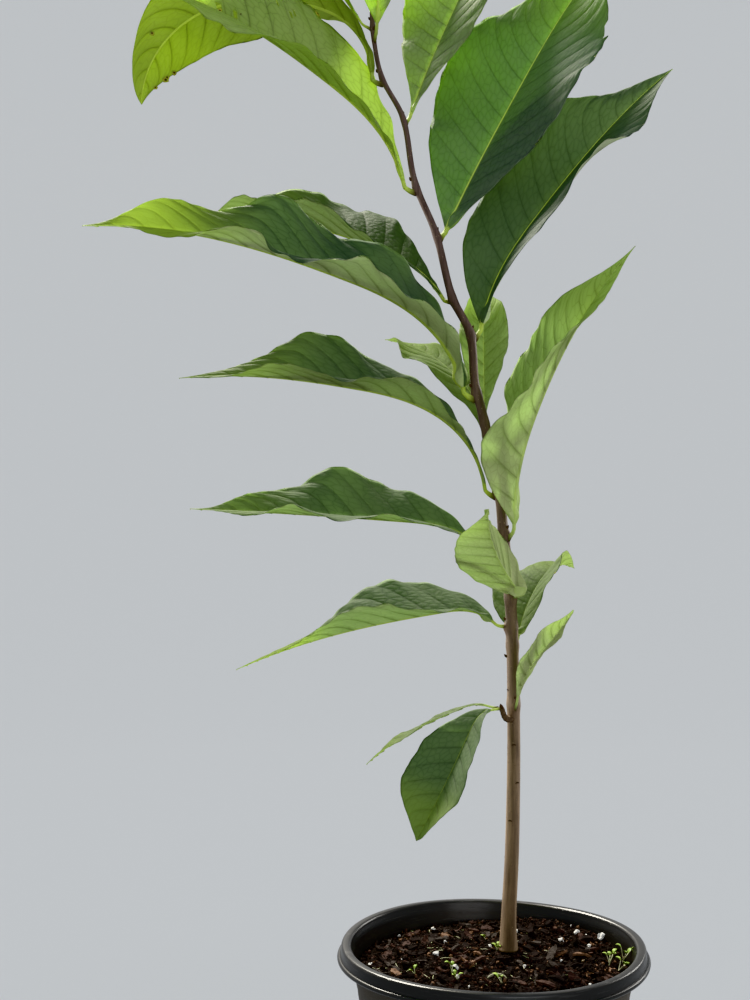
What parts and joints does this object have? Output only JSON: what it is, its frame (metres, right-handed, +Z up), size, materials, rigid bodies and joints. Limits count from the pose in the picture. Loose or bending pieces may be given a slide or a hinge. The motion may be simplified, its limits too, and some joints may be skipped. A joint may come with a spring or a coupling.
{
  "type": "potted pawpaw tree",
  "caption": "Young potted pawpaw tree: a slender trunk with large drooping leaves, rooted in bark potting mix in a round black plastic nursery pot.",
  "frame": {"origin": "middle of the pot's flat underside", "axes": "+Z up along the pot's axis, +X to the viewer's right, +Y away from the viewer"},
  "size_m": [0.3321, 0.2037, 0.7984],
  "materials": {
    "pot": "black moulded plastic, faintly glossy",
    "soil": "dark moist bark potting mix with pale perlite",
    "bark": "smooth young bark, tan low down and purple-brown above, with pale pores",
    "leaf": "satin green blade with sunken veins, paler underneath"
  },
  "bodies": {
    "root": {"pot": "pot", "soil": "soil", "trunk": "bark", "spur": "bark", "leaf_01": "leaf", "leaf_02": "leaf", "leaf_03": "leaf", "leaf_04": "leaf", "leaf_05": "leaf", "leaf_06": "leaf", "leaf_07": "leaf", "leaf_08": "leaf", "leaf_09": "leaf", "leaf_10": "leaf", "leaf_11": "leaf", "leaf_12": "leaf", "leaf_13": "leaf", "leaf_14": "leaf", "leaf_15": "leaf", "leaf_16": "leaf", "leaf_17": "leaf", "leaf_18": "leaf", "leaf_19": "leaf", "leaf_20": "leaf", "leaf_21": "leaf"}
  },
  "joints": []
}
